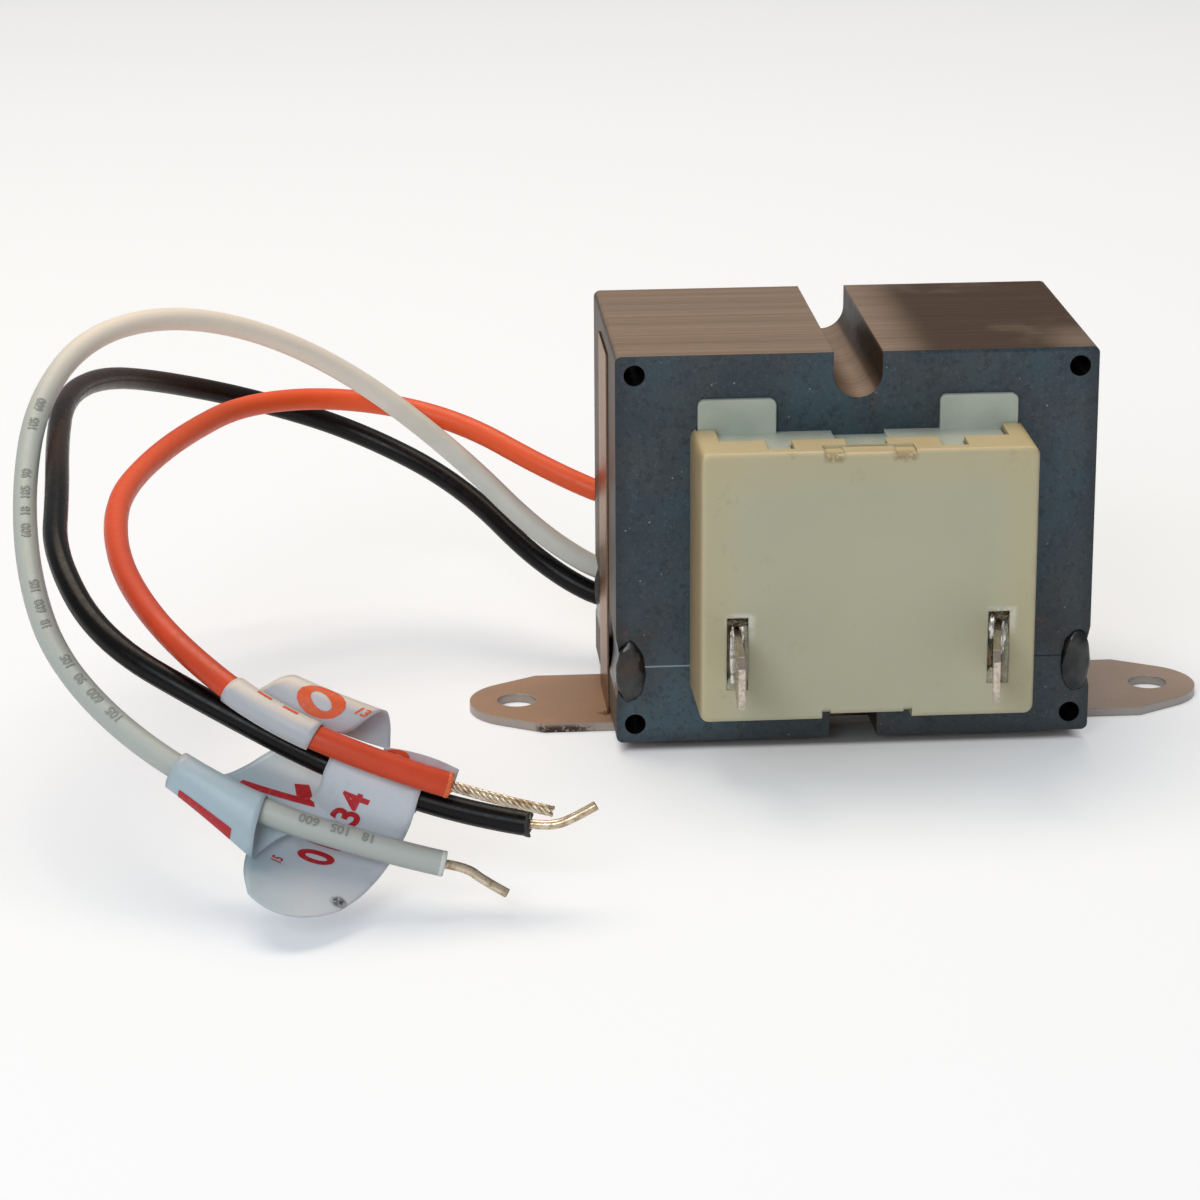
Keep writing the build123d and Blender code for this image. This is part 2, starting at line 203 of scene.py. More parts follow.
def grid_faces(rows, columns):
    """Quads of a grid of vertices that was filled row by row."""
    faces = []
    for r in range(rows - 1):
        for c in range(columns - 1):
            i = r * columns + c
            faces.append((i, i + 1, i + columns + 1, i + columns))
    return faces


# Leads
white_lead = nurbs("white_cord", [WHITE_ROUTE], LEAD_D)
black_lead = nurbs("black_cord", [BLACK_ROUTE], LEAD_D)
orange_lead = nurbs("orange_cord", [ORANGE_ROUTE], LEAD_D)
white_line, black_line, orange_line = Line(WHITE_ROUTE), Line(BLACK_ROUTE), Line(ORANGE_ROUTE)


def strand_routes(route):
    """Strands twisted round a middle one along a bare end, cut to three lengths."""
    line = Line(route)
    routes = [route]
    for strand in range(STRAND_COUNT):
        points = []
        cut = STRAND_STAGGER * (strand % 3)
        for step in range(STRAND_STEPS + 1):
            distance = cut + (line.length - cut) * (1 - step / STRAND_STEPS)
            turn = math.tau * (strand / STRAND_COUNT + distance / STRAND_PITCH)
            points.append(line.around(distance, turn, STRAND_D))
        routes.append(points)
    return routes


white_end = nurbs("white_bare_end", [WHITE_END], WIRE_D)
black_end = nurbs("black_bare_end", [BLACK_END], WIRE_D)
orange_end = nurbs("orange_strands", strand_routes(ORANGE_END), STRAND_D)

# Tags: paper strips wound round the leads. A section is a list of (up, away, along) places from the
# lead's axis. A strip has three, at its far side, its middle and its side nearest to the lead's end.
PAPER_T = 0.16
SLEEVE_FIT = 0.2
SLEEVE_R = LEAD_D / 2 + SLEEVE_FIT
SMUDGE_S, SMUDGE_T = -3.6, 0.84

# Figures: how far ink stands off, how much strokes are thickened, and the faces they are cut into
INK_LIFT = 0.05
FIGURE_WEIGHT = 0.03
FIGURE_STEP = 0.3
FIGURE_CURVE_STEPS = 4


def arc(radius, start, stop, count, last_along=0.0):
    """Places round the lead, with angles in degrees from up towards away."""
    places = []
    for i in range(count):
        share = i / (count - 1)
        angle = math.radians(start + (stop - start) * share)
        places.append((radius * math.cos(angle), radius * math.sin(angle), last_along * share))
    return places


def smooth(values, share):
    """Catmull-Rom value at a share of a list of vectors."""
    at = share * (len(values) - 1)
    i = min(int(at), len(values) - 2)
    t = at - i
    p0, p1 = values[max(i - 1, 0)], values[i]
    p2, p3 = values[i + 1], values[min(i + 2, len(values) - 1)]
    return 0.5 * (2 * p1 + (p2 - p0) * t + (2 * p0 - 5 * p1 + 4 * p2 - p3) * t * t
                  + (3 * p1 - 3 * p2 + p3 - p0) * t * t * t)


class Paper:
    """A strip of paper on a lead. Its places are (s, t): s in mm along the strip, t from 0 to 1 across it."""

    steps, columns = 160, 17
    reach = 0.004  # share of the strip and of its width that a normal looks to each side

    def __init__(self, line, from_end, width, sections):
        self.line, self.from_end, self.width = line, from_end, width
        self.sections = [[Vector(p) for p in section] for section in sections]
        self.at = [0.0]
        middle = [self.point(i / self.steps, 0.5) for i in range(self.steps + 1)]
        for a, b in zip(middle, middle[1:]):
            self.at.append(self.at[-1] + (b - a).length)
        self.length = self.at[-1]

    def share(self, s):
        """Share of the strip at a distance from its start, or from its end where s is negative."""
        s = min(max(s if s >= 0 else self.length + s, 0), self.length)
        i = 1
        while i < self.steps and self.at[i] < s:
            i += 1
        part = (s - self.at[i - 1]) / (self.at[i] - self.at[i - 1])
        return (i - 1 + part) / self.steps

    def point(self, share, t):
        far, middle, near = (smooth(section, share) for section in self.sections)
        across = far * (1 - t) * (1 - 2 * t) + middle * 4 * t * (1 - t) + near * t * (2 * t - 1)
        point, along, up, away = self.line.section(self.from_end + self.width * (1 - t))
        return point + up * across.x + away * across.y + along * across.z

    def normal(self, share, t):
        d = self.reach
        ds = self.point(min(share + d, 1), t) - self.point(max(share - d, 0), t)
        dt = self.point(share, min(t + d, 1)) - self.point(share, max(t - d, 0))
        return ds.cross(dt).normalized()

    def sheet(self, name):
        rows, columns = self.steps + 1, self.columns
        places = [(i / self.steps, k / (columns - 1)) for i in range(rows) for k in range(columns)]
        obj = mesh_object(name, [self.point(*p) for p in places], grid_faces(rows, columns))
        skin = obj.modifiers.new("thickness", "SOLIDIFY")
        skin.thickness = PAPER_T * MM
        skin.offset = 0
        return obj

    def figures(self, name, text, s, t, size, side, turned=0.0):
        """Printed figures on one side of the sheet, their middle at (s, t), turned in degrees."""
        flat = flat_figures(text, size)
        c, d = math.cos(math.radians(turned)), math.sin(math.radians(turned))
        middle = s if s >= 0 else self.length + s
        vertices = []
        for v in flat.vertices:
            share = self.share(max(middle + v.co.x * c - v.co.y * d, 0))
            at_t = min(max(t + side * (v.co.x * d + v.co.y * c) / self.width, 0.0), 1.0)
            lift = self.normal(share, at_t) * side * (PAPER_T / 2 + INK_LIFT)
            vertices.append(self.point(share, at_t) + lift)
        return bent(name, flat, vertices)


def flat_figures(text, size):
    """Flat mesh of plain figures, centred, cut into small faces so that it can bend, in mm."""
    curve = bpy.data.curves.new("figures", "FONT")
    curve.body = text
    curve.size = size
    curve.align_x = "CENTER"
    curve.align_y = "CENTER"
    curve.resolution_u = FIGURE_CURVE_STEPS
    curve.offset = FIGURE_WEIGHT * size
    source = bpy.data.objects.new("figures", curve)
    mesh = bpy.data.meshes.new_from_object(source)
    bpy.data.objects.remove(source)
    cut = bmesh.new()
    cut.from_mesh(mesh)
    for axis in (Vector((1, 0, 0)), Vector((0, 1, 0))):
        places = [v.co.dot(axis) for v in cut.verts]
        level = min(places) + FIGURE_STEP
        while level < max(places):
            everything = cut.verts[:] + cut.edges[:] + cut.faces[:]
            bmesh.ops.bisect_plane(cut, geom=everything, plane_co=axis * level, plane_no=axis)
            level += FIGURE_STEP
    cut.to_mesh(mesh)
    cut.free()
    return mesh


def bent(name, flat, places):
    """An object made of flat figures, with their vertices at new places."""
    obj = mesh_object(name, places, [tuple(p.vertices) for p in flat.polygons])
    bpy.data.meshes.remove(flat)
    return obj


# The orange lead's tag: a tight sleeve, then a wide roll behind and above it
orange_sleeve = arc(SLEEVE_R, -270, 50, 14, 0.8)
orange_far = orange_sleeve + [
    (1.35, 1.75, 1.8), (2.2, 1.75, 2.4), (3.2, 1.8, 2.9), (4.2, 2.2, 3.4), (4.9, 3.0, 3.9), (5.1, 4.2, 4.4),
    (4.8, 5.3, 5.0), (4.0, 6.0, 5.5), (2.9, 6.2, 6.0), (1.8, 5.8, 6.5)]
orange_middle = orange_sleeve + [
    (1.35, 1.75, 2.2), (2.3, 1.75, 3.1), (3.4, 1.8, 3.7), (4.5, 2.2, 4.3), (5.2, 3.0, 4.8), (5.4, 4.2, 5.3),
    (5.0, 5.3, 5.8), (4.1, 6.0, 6.3), (2.9, 6.2, 6.8), (1.8, 5.8, 7.3)]
orange_near = orange_sleeve + [
    (1.35, 1.75, 2.6), (2.3, 1.75, 3.7), (3.4, 1.8, 4.3), (4.5, 2.2, 4.9), (5.2, 3.0, 5.4), (5.4, 4.2, 5.9),
    (5.0, 5.3, 6.3), (4.1, 6.0, 6.8), (2.9, 6.2, 7.3), (1.8, 5.8, 7.8)]
orange_paper = Paper(orange_line, from_end=15.8, width=10.6,
                     sections=[orange_far, orange_middle, orange_near])

# Its loose tail, which runs on behind the lead as far as the cut end
tail_far = [(-0.8, 2.0, 0), (0.2, 2.0, 0), (1.0, 1.9, 0), (1.6, 1.7, 0)]
tail_middle = [(-0.8, 1.9, 0), (0.3, 1.9, 0), (1.3, 1.8, 0), (2.2, 1.6, 0)]
tail_near = [(-0.8, 1.9, 0), (0.3, 1.8, 0), (1.1, 1.7, 0), (1.8, 1.5, 0)]
orange_tail = Paper(orange_line, from_end=-0.7, width=8.6, sections=[tail_far, tail_middle, tail_near])

# The white lead's tag: a loose cone that hangs below the lead, with a flag up behind the other leads
white_far = [(1.2, 1.0, 0), (1.75, 0.2, 0), (1.6, -0.9, 0), (0.6, -1.75, 0), (-0.8, -1.75, 0),
             (-1.9, -1.2, 0), (-2.4, -0.2, 0), (-1.9, 0.9, 0.3), (-0.6, 1.7, 1.4), (0.8, 2.2, 3.0),
             (2.2, 3.0, 4.3), (3.8, 4.2, 5.1), (5.4, 5.5, 5.6), (6.9, 6.8, 6.1), (8.3, 8.0, 6.6)]
white_middle = [(1.2, 1.0, 0), (1.7, 0.2, 0), (1.5, -1.0, 0), (0.5, -1.8, 0), (-1.0, -1.9, 0),
                (-2.5, -1.4, 0), (-3.2, -0.3, 0), (-2.6, 1.0, 0.3), (-1.0, 1.8, 1.8), (0.6, 2.3, 3.8),
                (2.1, 3.0, 5.6), (3.6, 4.1, 6.8), (5.2, 5.5, 7.6), (6.7, 6.8, 8.3), (8.1, 8.0, 8.9)]
white_near = [(1.1, 1.0, 0), (1.6, 0.2, 0), (1.4, -1.0, 0), (0.2, -2.0, 0.2), (-2.0, -2.2, 0.5),
              (-4.0, -1.7, 0.9), (-5.1, -0.5, 1.1), (-4.2, 1.0, 1.4), (-2.0, 2.0, 2.8), (0.2, 2.5, 5.6),
              (2.0, 3.1, 8.0), (3.5, 4.1, 9.6), (5.0, 5.5, 10.7), (6.5, 6.8, 11.6), (7.9, 8.0, 12.3)]
white_paper = Paper(white_line, from_end=20.4, width=10.3, sections=[white_far, white_middle, white_near])

# The black lead's tag: a sleeve, then a flag that hangs down behind the white lead and out on the floor
black_sleeve = arc(SLEEVE_R, -40, -330, 10) + [(1.2, -1.4, 0)]
black_far = black_sleeve + [(-0.6, -1.6, 0), (-3.0, -0.4, 0.0), (-5.6, 1.0, -1.0), (-8.4, 1.8, -2.4),
                            (-11.2, 0.4, -4.2), (-13.5, -4.0, -3.5), (-15.3, -8.4, -1.5)]
black_middle = black_sleeve + [(-0.6, -1.8, 0), (-3.0, -1.2, -0.3), (-5.6, -0.2, -0.8), (-8.2, 0.2, -1.4),
                               (-10.8, -2.4, -1.9), (-13.3, -6.6, -2.3), (-15.5, -10.6, -2.6)]
black_near = black_sleeve + [(-0.6, -1.8, 0), (-2.6, -1.3, 0), (-4.6, -0.5, -0.3), (-6.8, 0.2, -0.8),
                             (-9.2, -1.2, -1.5), (-11.6, -4.2, -2.6), (-13.4, -7.0, -4.0)]
black_paper = Paper(black_line, from_end=12.2, width=10.5, sections=[black_far, black_middle, black_near])

orange_tag = orange_paper.sheet("orange_tag_paper")
orange_flap = orange_tail.sheet("orange_tag_tail")
white_tag = white_paper.sheet("white_tag_paper")
black_tag = black_paper.sheet("black_tag_paper")


def lead_figures(name, line, text, from_end, size, turn):
    """Print on a lead, upside down in the view. Its middle lies at an angle in degrees from the top."""
    flat = flat_figures(text, size)
    radius = LEAD_D / 2
    vertices = []
    for v in flat.vertices:
        angle = math.radians(turn) - v.co.y / radius
        vertices.append(line.around(from_end + v.co.x, angle, radius + INK_LIFT))
    return bent(name, flat, vertices)


CUT_STEPS = 72


def cut_face(name, line, wire_d, ragged):
    """The ragged cut end of a lead's insulation, round its wire."""
    skin, bore = LEAD_D / 2, wire_d / 2
    # Radius and distance from the end, from the skin over the rim to the wire
    profile = [(skin - 0.05, 0.5), (skin + 0.03, 0.3), (skin + 0.02, 0.0),
               (skin - 0.12, -0.1), (bore + 0.35, -0.06), (bore + 0.04, 0.02)]
    vertices = []
    for i in range(CUT_STEPS + 1):
        angle = math.tau * i / CUT_STEPS
        for radius, from_end in profile:
            point, along, up, away = line.section(from_end)
            across = up * math.cos(angle) + away * math.sin(angle)
            place = point + across * radius
            wander = noise.noise(place * 1.7) + 0.5 * noise.noise(place * 4.1)
            vertices.append(place + along * wander * ragged + across * wander * ragged * 0.35)
    return mesh_object(name, vertices, grid_faces(CUT_STEPS + 1, len(profile)))


white_cut = cut_face("white_cut_face", white_line, WIRE_D, 0.14)
black_cut = cut_face("black_cut_face", black_line, WIRE_D, 0.3)
orange_cut = cut_face("orange_cut_face", orange_line, 3 * STRAND_D, 0.2)


def lump(name, at, size, rough):
    """A drop of solder, flux or run metal: a ball with a rough skin."""
    ball = bmesh.new()
    bmesh.ops.create_icosphere(ball, subdivisions=4, radius=1.0)
    ball.verts.index_update()
    faces = [[v.index for v in face.verts] for face in ball.faces]
    vertices = []
    for v in ball.verts:
        swell = 1 + rough * noise.noise(v.co * 1.6 + Vector(at)) + rough * 0.5 * noise.noise(v.co * 4.0)
        vertices.append(Vector(at) + Vector([c * s * swell for c, s in zip(v.co, size)]))
    ball.free()
    return mesh_object(name, vertices, faces)


# Solder, burnt flux and pale dried flux round the blades, in the cover's slots
solder = [lump("solder_left", (-15.8, SLOT_Y, 15.4), (0.6, 0.55, 3.9), 0.2),
          lump("solder_left_top", (-14.8, SLOT_Y, 18.4), (0.5, 0.5, 1.5), 0.25),
          lump("solder_right_top", (14.55, SLOT_Y, 18.4), (0.5, 0.55, 1.5), 0.25),
          lump("solder_right", (15.85, SLOT_Y, 16.8), (0.4, 0.5, 2.2), 0.3)]
burnt_flux = [lump("flux_left_top", (-15.4, SLOT_Y, 19.9), (1.15, 0.55, 0.5), 0.5),
              lump("flux_left", (-16.4, SLOT_Y, 16.4), (0.2, 0.5, 3.6), 0.4),
              lump("flux_right_top", (15.5, SLOT_Y, 19.9), (1.0, 0.55, 0.55), 0.5),
              lump("flux_right", (14.45, SLOT_Y, 14.9), (0.45, 0.45, 1.6), 0.4)]
pale_flux = [lump("flux_left_side", (-14.35, SLOT_Y, 15.0), (0.55, 0.45, 4.2), 0.15),
             lump("flux_left_low", (-15.9, SLOT_Y, 12.1), (0.9, 0.4, 1.0), 0.2),
             lump("flux_right_side", (16.2, SLOT_Y, 14.6), (0.6, 0.45, 4.2), 0.15),
             lump("flux_right_low", (14.6, SLOT_Y, 12.3), (0.8, 0.4, 1.2), 0.2)]

# Run metal at the ends of the welds, on the core's front and back. Its half width, half height and sag are
# shares of the bead's, and its half depth is in mm.
END_HALF_W, END_HALF_DEPTH, END_HALF_H, END_SAG = 1.05, 0.75, 1.02, 0.1
weld_ends = []
for side in ("left", "right"):
    low, high = box_of("weld_bead_" + side)
    middle, half = (low + high) / 2, (high - low) / 2
    size = (END_HALF_W * half.x, END_HALF_DEPTH, END_HALF_H * half.z)
    for end, y in (("front", low.y), ("back", high.y)):
        at = (middle.x, y, middle.z - END_SAG * half.z)
        weld_ends.append(lump("weld_" + side + "_" + end, at, size, 0.1))


class Look:
    """A material made of nodes, with short calls for the nodes it needs."""

    def __init__(self, name, **values):
        self.material = bpy.data.materials.new(name)
        self.material.use_nodes = True
        self.tree = self.material.node_tree
        self.tree.nodes.clear()
        self.shader = self.add("ShaderNodeBsdfPrincipled")
        output = self.add("ShaderNodeOutputMaterial")
        self.tree.links.new(self.shader.outputs["BSDF"], output.inputs["Surface"])
        self.set(**values)
        self.coordinates = self.add("ShaderNodeTexCoord")
        self.here = self.coordinates.outputs["Object"]

    def add(self, kind, **settings):
        made = self.tree.nodes.new(kind)
        for key, value in settings.items():
            setattr(made, key, value)
        return made

    def feed(self, socket, value):
        """Link a socket, or set a constant on it."""
        if isinstance(value, bpy.types.NodeSocket):
            self.tree.links.new(value, socket)
        else:
            socket.default_value = value

    def set(self, **values):
        """Feed the shader's sockets, named with underscores for spaces."""
        for key, value in values.items():
            self.feed(self.shader.inputs[key.replace("_", " ")], value)

    def math(self, operation, a, b=0.0):
        made = self.add("ShaderNodeMath", operation=operation)
        self.feed(made.inputs[0], a)
        self.feed(made.inputs[1], b)
        return made.outputs[0]

    def times(self, a, b):
        return self.math("MULTIPLY", a, b)

    def plus(self, a, b):
        return self.math("ADD", a, b)

    def minus(self, a, b):
        return self.math("SUBTRACT", a, b)

    def larger(self, a, b):
        return self.math("MAXIMUM", a, b)

    def smaller(self, a, b):
        return self.math("MINIMUM", a, b)

    def off(self, value, level):
        """Distance of a value from a level."""
        return self.math("ABSOLUTE", self.minus(value, level))

    def ramp(self, value, low, high, to_low=0.0, to_high=1.0):
        """Smooth step from low to high."""
        made = self.add("ShaderNodeMapRange", interpolation_type="SMOOTHSTEP")
        for socket, v in zip(made.inputs, (value, low, high, to_low, to_high)):
            self.feed(socket, v)
        return made.outputs[0]

    def mix(self, factor, a, b):
        made = self.add("ShaderNodeMix", data_type="RGBA")
        for index, v in ((0, factor), (6, a), (7, b)):
            self.feed(made.inputs[index], v)
        return made.outputs[2]

    def over(self, base, factor, code):
        """A colour, given by its code, over another."""
        return self.mix(factor, base, colour(code))

    def xyz(self):
        """The place on the part, in mm."""
        made = self.add("ShaderNodeSeparateXYZ")
        self.feed(made.inputs[0], self.here)
        return [self.times(o, 1 / MM) for o in made.outputs]

    def facing(self):
        """The sizes of the normal's parts along X, Y and Z."""
        made = self.add("ShaderNodeSeparateXYZ")
        self.feed(made.inputs[0], self.coordinates.outputs["Normal"])
        return [self.math("ABSOLUTE", o) for o in made.outputs]

    def stretched(self, x, y, z):
        made = self.add("ShaderNodeMapping")
        self.feed(made.inputs["Vector"], self.here)
        made.inputs["Scale"].default_value = (x, y, z)
        return made.outputs[0]

    def noise(self, size, detail=4.0, roughness=0.55, vector=None):
        """Noise with features of a size in mm."""
        made = self.add("ShaderNodeTexNoise")
        self.feed(made.inputs["Vector"], vector or self.here)
        made.inputs["Scale"].default_value = 1 / (size * MM)
        made.inputs["Detail"].default_value = detail
        made.inputs["Roughness"].default_value = roughness
        return made.outputs[0]

    def spots(self, size):
        """Distance from the nearest of points scattered about a size in mm apart."""
        made = self.add("ShaderNodeTexVoronoi")
        self.feed(made.inputs["Vector"], self.here)
        made.inputs["Scale"].default_value = 1 / (size * MM)
        return made.outputs["Distance"]

    def by_number(self, value):
        """A random value for each whole number."""
        made = self.add("ShaderNodeTexWhiteNoise", noise_dimensions="1D")
        self.feed(made.inputs["W"], value)
        return made.outputs["Value"]

    def edge(self, radius):
        """1 near the part's sharp edges, 0 elsewhere, and the rounded normal."""
        made = self.add("ShaderNodeBevel", samples=4)
        made.inputs["Radius"].default_value = radius * MM
        geometry = self.add("ShaderNodeNewGeometry")
        dot = self.add("ShaderNodeVectorMath", operation="DOT_PRODUCT")
        self.feed(dot.inputs[0], made.outputs[0])
        self.feed(dot.inputs[1], geometry.outputs["True Normal"])
        return self.ramp(dot.outputs["Value"], 0.995, 0.8), made.outputs[0]

    def bump(self, height, strength, depth, normal=None):
        made = self.add("ShaderNodeBump")
        made.inputs["Strength"].default_value = strength
        made.inputs["Distance"].default_value = depth * MM
        self.feed(made.inputs["Height"], height)
        if normal is not None:
            self.feed(made.inputs["Normal"], normal)
        return made.outputs[0]


def colour(code):
    """Scene-linear colour of an sRGB hex code."""
    values = []
    for i in (0, 2, 4):
        v = int(code[i:i + 2], 16) / 255
        values.append(v / 12.92 if v <= 0.04045 else ((v + 0.055) / 1.055) ** 2.4)
    return (*values, 1.0)


def core_faces(look, x, z, beside):
    """Colour, roughness and height of the blued faces: mottled, with painted sheen, dark at the rim, brown
    near the welds, and a painted highlight on the joint's left half.
    """
    mottle = look.noise(7.0, 6, 0.65)
    sheen = look.noise(13.0, 4, 0.6, look.stretched(1, 1, 0.6))
    grain = look.noise(0.5, 3, 0.7)
    blued = look.mix(look.ramp(mottle, 0.35, 0.68), colour("32414B"), colour("464B4D"))
    blued = look.over(blued, look.ramp(sheen, 0.45, 0.7, 0, 0.7), "3F5763")
    blued = look.over(blued, look.ramp(z, 24, 4, 0, 0.4), "454A4D")
    # Painted sheen: a lighter blue over the lower left of the faces
    low_left_sheen = look.times(look.ramp(x, -8, -18), look.ramp(z, 16, 9))
    blued = look.over(blued, look.times(low_left_sheen, 0.5), "4B6573")
    blued = look.over(blued, look.ramp(grain, 0.52, 0.75, 0, 0.5), "626E74")
    blued = look.over(blued, look.ramp(look.noise(0.9, 5, 0.75), 0.5, 0.36, 0, 0.5), "25292B")
    rim = look.larger(look.ramp(beside, CORE_HALF - 2.2, CORE_HALF), look.ramp(z, CORE_LOW + 2.0, CORE_LOW))
    blued = look.over(blued, look.times(rim, 0.45), "232628")
    specks = look.ramp(look.spots(1.3), 0.1, 0.05)
    rare = look.ramp(look.noise(3.0, 2), 0.5, 0.62)
    blued = look.over(blued, look.times(specks, rare), "9CA5A7")
    from_joint = look.off(z, JOINT_Z)
    burnt = look.ramp(look.larger(look.minus(CORE_HALF, beside), from_joint), 7.0, 3.0)
    where = look.larger(look.ramp(look.noise(6.0, 2), 0.58, 0.7), look.times(burnt, 0.8))
    worn = look.times(look.ramp(look.noise(1.0, 6, 0.75), 0.56, 0.64), where)
    blued = look.over(blued, look.times(worn, 0.75), "7A5246")
    blued = look.over(blued, look.times(burnt, look.ramp(mottle, 0.4, 0.6, 0.2, 0.6)), "35302D")
    # The joint between the stacks: a painted highlight on its left half and a dark gap on its right
    joint = look.mix(look.ramp(x, -5, 5), colour("9FB4BA"), colour("16181A"))
    blued = look.mix(look.ramp(from_joint, 0.12, 0.05), blued, joint)
    return blued, look.ramp(mottle, 0.3, 0.7, 0.36, 0.52), look.times(grain, 0.5)


def core_edges(look, x, y, z, beside):
    """Colour, roughness, height, metal share and dullness of the sheets' bare cut edges, with painted shade
    on the core's sides, on the notch's right wall and in the corner holes.
    """
    tone = look.by_number(look.math("FLOOR", look.math("DIVIDE", y, SHEET_T)))
    group = look.by_number(look.math("FLOOR", look.math("DIVIDE", y, GROUP_T)))
    streak = look.noise(0.8, 4, 0.6, look.stretched(0.04, 1, 0.04))
    cut = look.mix(tone, colour("917761"), colour("A68C76"))
    cut = look.over(cut, look.times(group, 0.22), "735D4D")
    cut = look.over(cut, look.ramp(streak, 0.42, 0.7, 0, 0.14), "6A5343")
    # Painted shade: the cut edges on the core's sides, facing along X, are darker
    side = look.ramp(look.facing()[0], 0.6, 0.8, 0, 0.95)
    cut = look.over(cut, look.times(side, 0.88), "443830")

    # Darker brown over the right of the top, less so near its front corner
    top_right_dark = look.times(look.ramp(x, 3, 10), look.ramp(look.noise(9, 3), 0.25, 0.5, 0.7, 0.97))
    front_corner_fade = look.times(look.ramp(x, 21, 27), look.ramp(y, -4, -13))
    top_right_dark = look.times(top_right_dark, look.minus(1.0, look.times(front_corner_fade, 0.6)))
    on_top = look.ramp(z, CORE_TOP - 0.6, CORE_TOP - 0.3)
    top_right_dark = look.times(top_right_dark, on_top)
    cut = look.over(cut, top_right_dark, "442F1A")

    # Painted shade on the notch's right wall and in the corner holes, and dark lines between the sheets
    wall = look.times(look.ramp(x, -1.0, 1.5), look.ramp(z, NOTCH_LOW + 0.6, NOTCH_LOW + 2.4))
    in_notch = look.times(look.ramp(beside, NOTCH_HALF + 0.8, NOTCH_HALF + 0.3), look.minus(1.0, on_top))
    cut = look.over(cut, look.times(in_notch, look.times(wall, 0.92)), "1F1712")
    seam = look.math("FRACT", look.math("DIVIDE", y, SHEET_T))
    gap = look.ramp(look.off(seam, 0.5), 0.36, 0.5)
    cut = look.over(cut, look.times(gap, 0.4), "33291F")
    hole_x = look.off(beside, CORE_HALF - HOLE_IN)
    hole_z = look.smaller(look.off(z, CORE_TOP - HOLE_IN), look.off(z, CORE_LOW + HOLE_IN))
    hole_shade = look.ramp(look.larger(hole_x, hole_z), HOLE_R + 0.4, HOLE_R + 0.1)
    cut = look.over(cut, hole_shade, "17120F")

    rough = look.ramp(streak, 0.3, 0.7, 0.38, 0.46)
    ridges = look.plus(look.times(gap, -1.0), look.times(tone, 0.8))
    shine = look.times(look.ramp(top_right_dark, 0, 1, 0.5, 0.1), look.minus(1.0, side))
    return cut, rough, ridges, shine, look.larger(top_right_dark, side)


def core_look():
    """Blued faces, and the bare cut edges of the sheets on the top, the sides and in the notches."""
    look = Look("core_steel", IOR=1.6)
    x, y, z = look.xyz()
    beside = look.math("ABSOLUTE", x)
    edge, rounded = look.edge(0.15)
    face = look.ramp(look.facing()[1], 0.6, 0.8)
    blued, face_rough, face_height = core_faces(look, x, z, beside)
    cut, cut_rough, ridges, shine, dull = core_edges(look, x, y, z, beside)
    base = look.mix(face, cut, blued)
    base = look.over(base, look.times(edge, 0.3), "75675A")
    height = look.mix(face, ridges, face_height)
    look.set(Base_Color=base, Metallic=look.ramp(face, 0, 1, shine, 0.25),
             Roughness=look.mix(face, cut_rough, face_rough),
             Specular_IOR_Level=look.ramp(dull, 0, 1, 0.35, 0.06),
             Normal=look.bump(height, 0.5, 0.05, rounded))
    return look.material


def weld_look():
    """Dark glassy run metal with ripples, blue and brown from the heat."""
    look = Look("weld_steel", Metallic=0.6, Coat_Weight=0.4, Coat_Roughness=0.18)
    y = look.xyz()[1]
    run = look.noise(2.2, 2, 0.4)
    tint = look.mix(look.ramp(run, 0.35, 0.65), colour("1C1E20"), colour("3A3B3B"))
    tint = look.over(tint, look.ramp(look.noise(4), 0.5, 0.7, 0, 0.7), "3D2F28")
    ripple = look.math("SINE", look.times(y, 5.2))
    height = look.plus(look.times(run, 2.0), look.times(ripple, 0.35))
    look.set(Base_Color=tint, Roughness=look.ramp(run, 0.3, 0.7, 0.22, 0.38),
             Normal=look.bump(height, 0.6, 0.3))
    return look.material


def plate_look():
    """Dull plating with a fine grain, a painted warm reflection stronger on the left, bright edges and rust
    where it has worn through.
    """
    look = Look("plate_steel")
    x, y, z = look.xyz()
    edge, rounded = look.edge(0.25)
    grain = look.noise(0.35, 4, 0.7)
    cloud = look.noise(14, 4, 0.5)
    # Painted warm reflection: warmer tan on the left, pinker grey on the right
    warm = look.mix(look.ramp(x, -20, 20), colour("CBA080"), colour("C6AD9B"))
    base = look.mix(look.ramp(cloud, 0.35, 0.65, 0, 0.5), warm, colour("AC9079"))
    base = look.over(base, look.ramp(grain, 0.5, 0.75, 0, 0.3), "8A7564")
    base = look.over(base, look.times(edge, 0.7), "DCD0C4")
    side = look.ramp(look.facing()[2], 0.6, 0.3)
    base = look.over(base, look.times(side, 0.75), "A3A19F")
    front = look.times(look.ramp(y, -8.6, -9.1), look.ramp(z, 1.3, 0.5))
    patch = look.times(look.ramp(x, -39.5, -38.3), look.ramp(x, -29.5, -33.0))
    eaten = look.times(look.times(front, patch), look.ramp(look.noise(0.5, 5, 0.7), 0.36, 0.5))
    base = look.over(base, eaten, "4A3328")
    near_tack = look.ramp(look.plus(look.off(x, TACK_X), look.off(y, TACK_Y)), 1.5, 0.6)
    spot = look.times(near_tack, look.ramp(look.noise(0.6), 0.35, 0.5))
    base = look.over(base, spot, "6B4A38")
    rust = look.larger(eaten, spot)
    look.set(Base_Color=base, Roughness=look.ramp(rust, 0, 1, 0.36, 0.8),
             Metallic=look.ramp(rust, 0, 1, 0.5, 0.1), Normal=look.bump(grain, 0.25, 0.03, rounded))
    return look.material


